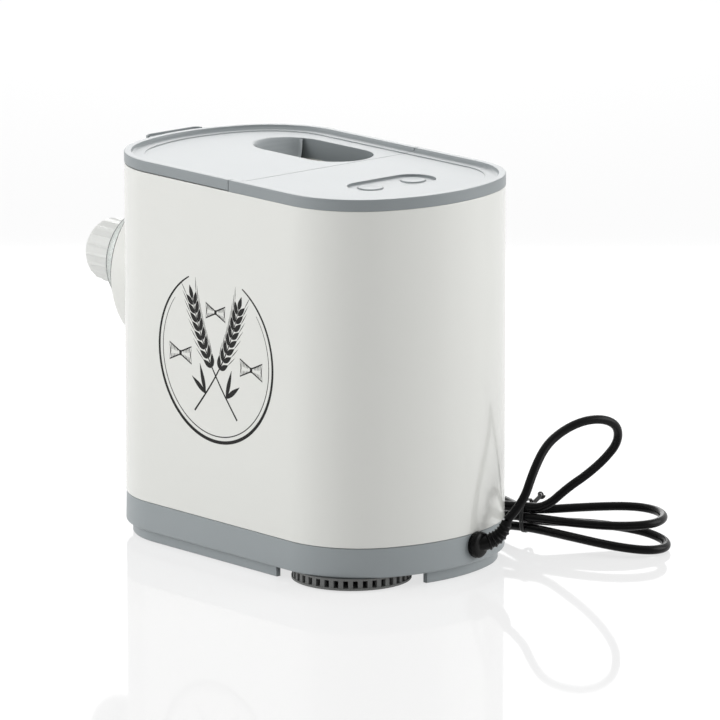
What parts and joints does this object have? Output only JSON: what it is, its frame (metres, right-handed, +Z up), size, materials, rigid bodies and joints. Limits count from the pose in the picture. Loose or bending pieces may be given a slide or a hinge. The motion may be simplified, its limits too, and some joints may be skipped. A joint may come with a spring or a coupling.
{
  "type": "electric pasta maker",
  "caption": "Electric pasta maker with a lift-off lid, pour opening, push buttons, feed screw, round front cover, die nut and a bundled mains cord.",
  "frame": {"origin": "on the floor under the middle of the machine, from nut to rear wall, without the cord", "axes": "+Z up, -Y out of the front where the pasta comes out, +X to the right seen from the front"},
  "size_m": [0.3041, 0.4415, 0.293],
  "materials": {
    "white_gloss": "glossy white moulded plastic",
    "grey_plastic": "satin grey moulded plastic",
    "button_grey": "satin grey",
    "dark_plastic": "matt dark",
    "rubber": "matt",
    "steel": "turned steel",
    "circuit_board": "lacquered board",
    "clear_plastic": "clear moulded plastic",
    "silicone": "soft, matt",
    "white_plastic": "satin white",
    "bronze": "sintered",
    "cast_alloy": "as cast",
    "gear_nylon": "natural nylon",
    "zinc_plate": "zinc plated",
    "lamination": "stacked sheet",
    "cord_rubber": "satin black",
    "tie_wire": "thin coated wire"
  },
  "bodies": {
    "casing": {"outer_casing": "white_gloss", "base_tray": "grey_plastic", "vent_drum": "dark_plastic", "rubber_feet": "rubber", "base_screws": "steel", "rear_top": "grey_plastic", "control_board": "circuit_board", "key_switches": "dark_plastic", "board_screws": "steel", "front_bezel": "grey_plastic", "front_seal": "silicone", "mixing_bowl": "clear_plastic", "shaft_seal": "silicone", "shaft_bushes": "bronze", "gear_frame": "cast_alloy", "motor_can": "zinc_plate", "stator": "lamination", "motor_bushes": "bronze", "motor_screws": "steel", "interlock_switch": "dark_plastic", "power_board": "circuit_board", "power_board_screws": "steel", "cord_gland": "cord_rubber", "cord_lead": "cord_rubber", "cord_hank": "cord_rubber", "cord_tie": "tie_wire", "mains_plug": "cord_rubber"},
    "lid": {"lid": "grey_plastic"},
    "program_button": {"program_button": "button_grey"},
    "power_button": {"power_button": "button_grey"},
    "front_cover": {"front_cover": "clear_plastic"},
    "die": {"die_disc": "white_plastic"},
    "nut": {"die_nut": "white_plastic"},
    "auger": {"kneading_auger": "white_plastic", "drive_shaft": "steel", "worm_wheel": "gear_nylon"},
    "motor": {"rotor": "lamination", "worm": "steel", "cooling_fan": "dark_plastic"}
  },
  "joints": [
    {"name": "lid_lift", "type": "slide", "parent": "casing", "child": "lid", "axis": [0, 0, 1], "range_m": [0, 0.12]},
    {"name": "program_press", "type": "slide", "parent": "casing", "child": "program_button", "axis": [0, 0, -1], "range_m": [0, 0.0012], "stiffness_N_per_m": 600},
    {"name": "power_press", "type": "slide", "parent": "casing", "child": "power_button", "axis": [0, 0, -1], "range_m": [0, 0.0012], "stiffness_N_per_m": 600},
    {"name": "cover_pull", "type": "slide", "parent": "casing", "child": "front_cover", "axis": [0, -1, 0], "range_m": [0, 0.1]},
    {"name": "die_travel", "type": "slide", "parent": "front_cover", "child": "die", "axis": [0, -1, 0], "range_m": [0, 0.0045]},
    {"name": "nut_turn", "type": "hinge", "parent": "die", "child": "nut", "pos_m": [0, -0.1775, 0.189], "axis": [0, -1, 0], "range_deg": [0, 540]},
    {"name": "auger_spin", "type": "hinge", "parent": "casing", "child": "auger", "pos_m": [0, 0.1375, 0.189], "axis": [0, 1, 0], "continuous": true},
    {"name": "motor_spin", "type": "hinge", "parent": "casing", "child": "motor", "pos_m": [0.046, 0.1375, 0.189], "axis": [0, 0, 1], "continuous": true}
  ],
  "couplings": [
    {"joint": "die_travel", "follows": "nut_turn", "m_per_rad": 0.00047746},
    {"joint": "motor_spin", "follows": "auger_spin", "ratio": 38}
  ]
}
